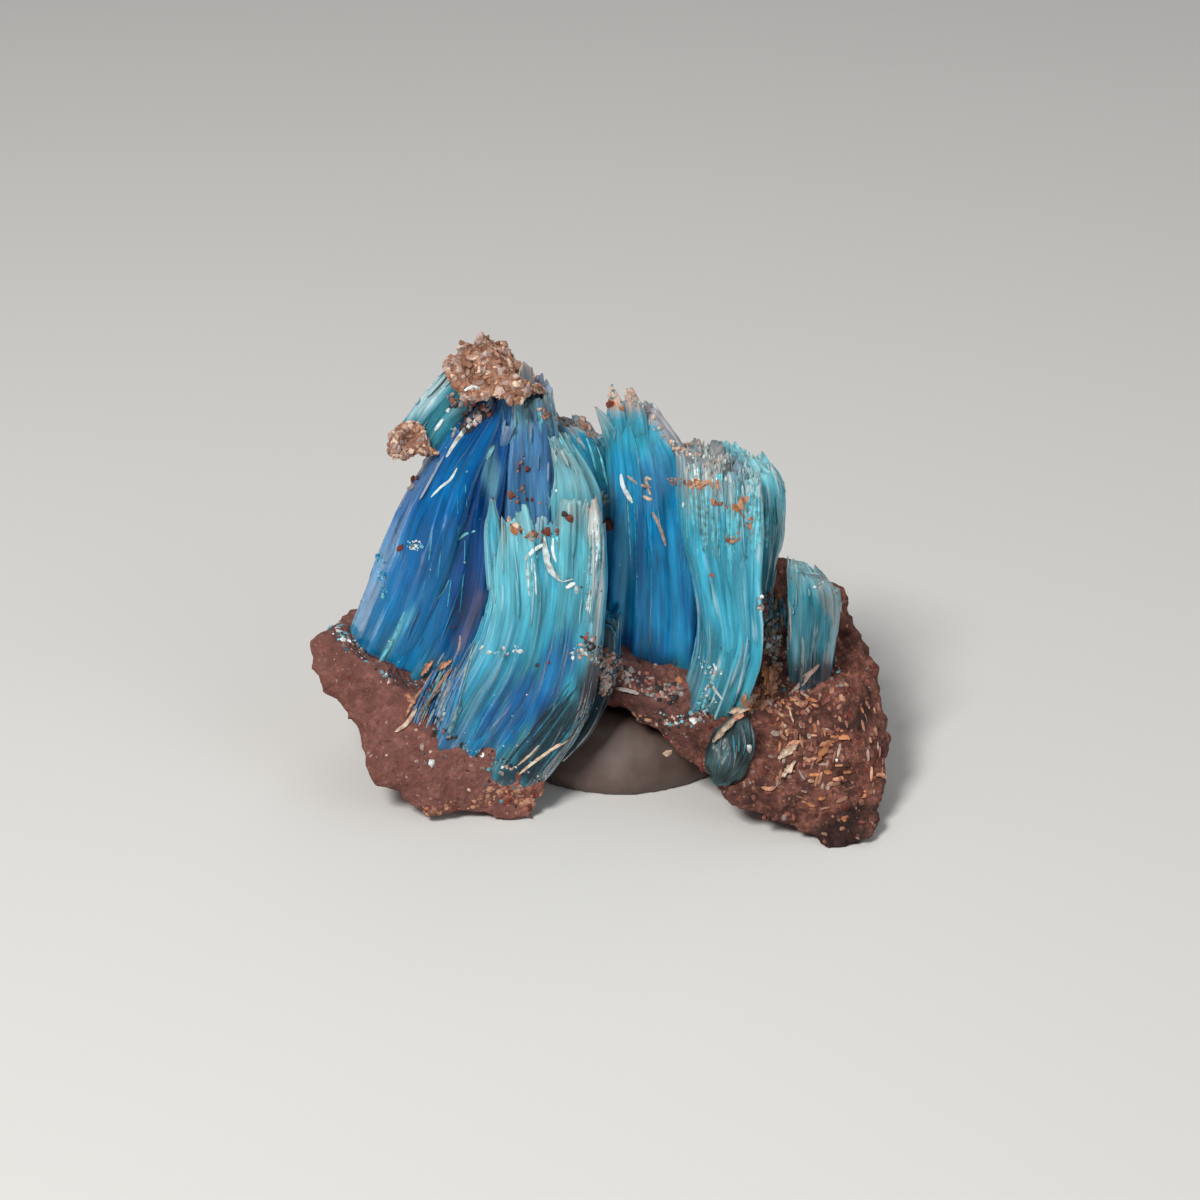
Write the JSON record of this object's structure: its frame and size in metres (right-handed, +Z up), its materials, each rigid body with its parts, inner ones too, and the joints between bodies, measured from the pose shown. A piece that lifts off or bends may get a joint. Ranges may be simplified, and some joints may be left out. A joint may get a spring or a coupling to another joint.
{
  "type": "chalcanthite crystal specimen",
  "caption": "Curved bundles of blue fibrous chalcanthite crystal on a broken red-brown host rock, held up on a squat putty pad.",
  "frame": {"origin": "centre of the putty pad's flat underside, on the surface that the specimen stands on", "axes": "+Z up, +X along the specimen's width towards the rock's sloping lobe, and -Y towards the viewer, out of the side with the crystals' broad faces"},
  "size_m": [0.0331, 0.0206, 0.0259],
  "materials": {
    "host_rock": "rough granular red-brown rock",
    "blue_crystal": "silky fibrous translucent blue crystal",
    "teal_crystal": "silky fibrous translucent teal crystal",
    "tan_crust": "crumbly tan and red-brown grains",
    "putty": "smooth matt grey-beige putty"
  },
  "bodies": {
    "root": {"host_rock": "host_rock", "main_crystals": "blue_crystal", "side_crystal": "teal_crystal", "teal_chip": "teal_crystal", "top_crust": "tan_crust", "left_crust": "tan_crust", "putty_pad": "putty"}
  },
  "joints": []
}
